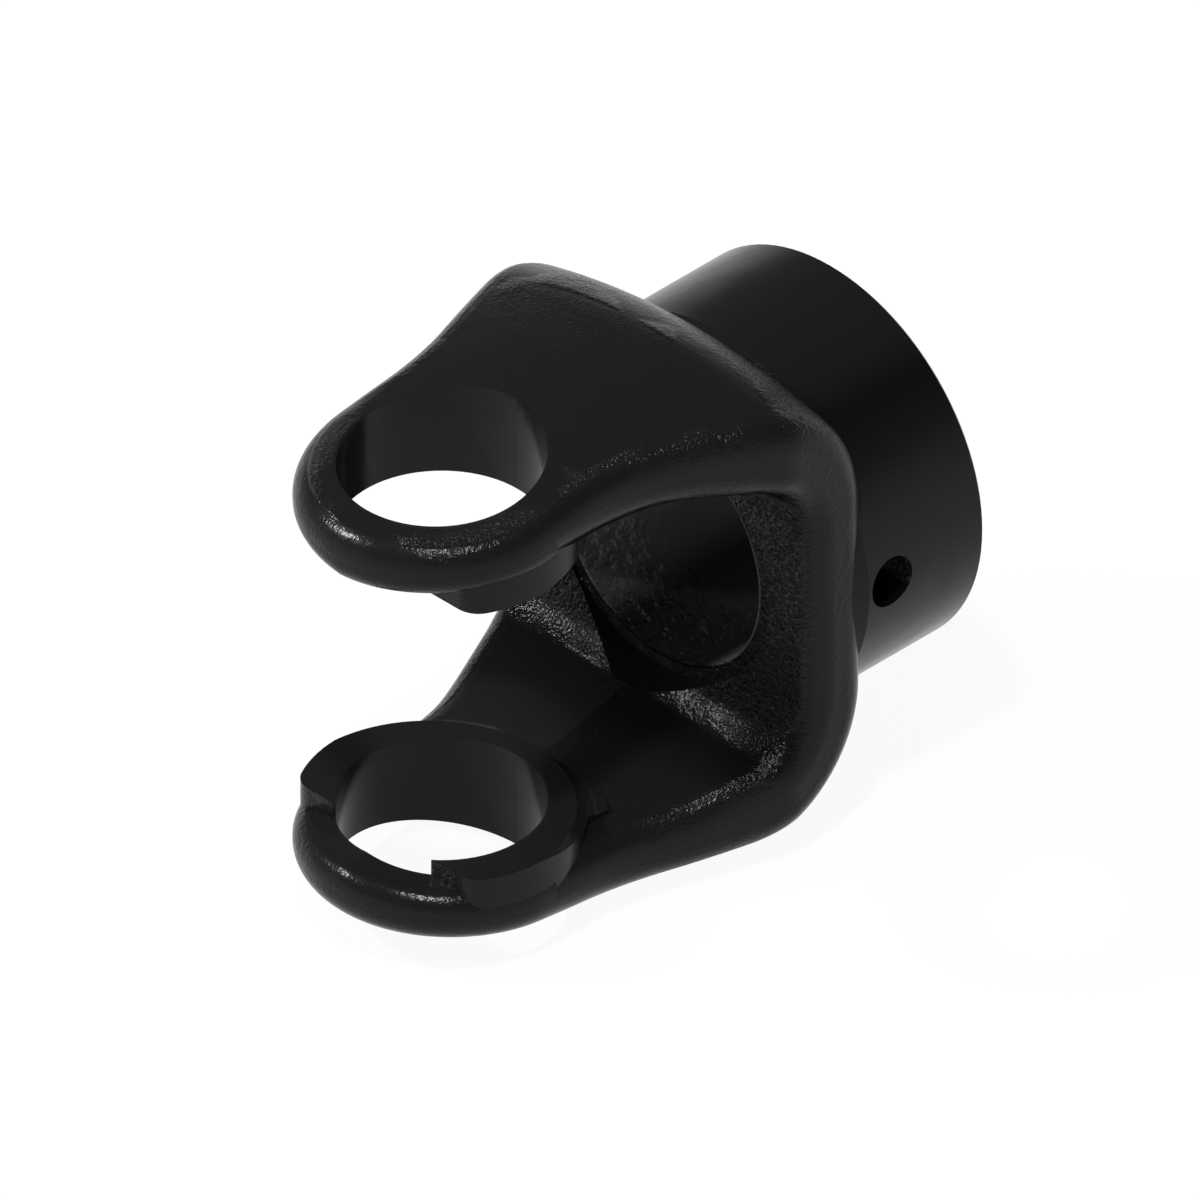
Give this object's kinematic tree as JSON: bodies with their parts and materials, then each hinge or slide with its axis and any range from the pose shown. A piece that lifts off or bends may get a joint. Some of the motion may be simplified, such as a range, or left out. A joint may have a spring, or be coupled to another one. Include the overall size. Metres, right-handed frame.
{
  "type": "forged yoke",
  "caption": "Forged driveline yoke with bored, rounded ears on arms that flare into a saddle and a round hub, cross-drilled for a retaining pin.",
  "frame": {"origin": "where the hub axis crosses the axis of the cross bore, midway between the ears", "axes": "+X along the hub axis from the ears to the hub, +Z along the cross bore, Y across the arms and along the pin hole"},
  "size_m": [0.0992, 0.0612, 0.079],
  "materials": {
    "black_coated_steel": "satin"
  },
  "bodies": {
    "root": {"forged_yoke": "black_coated_steel"}
  },
  "joints": []
}
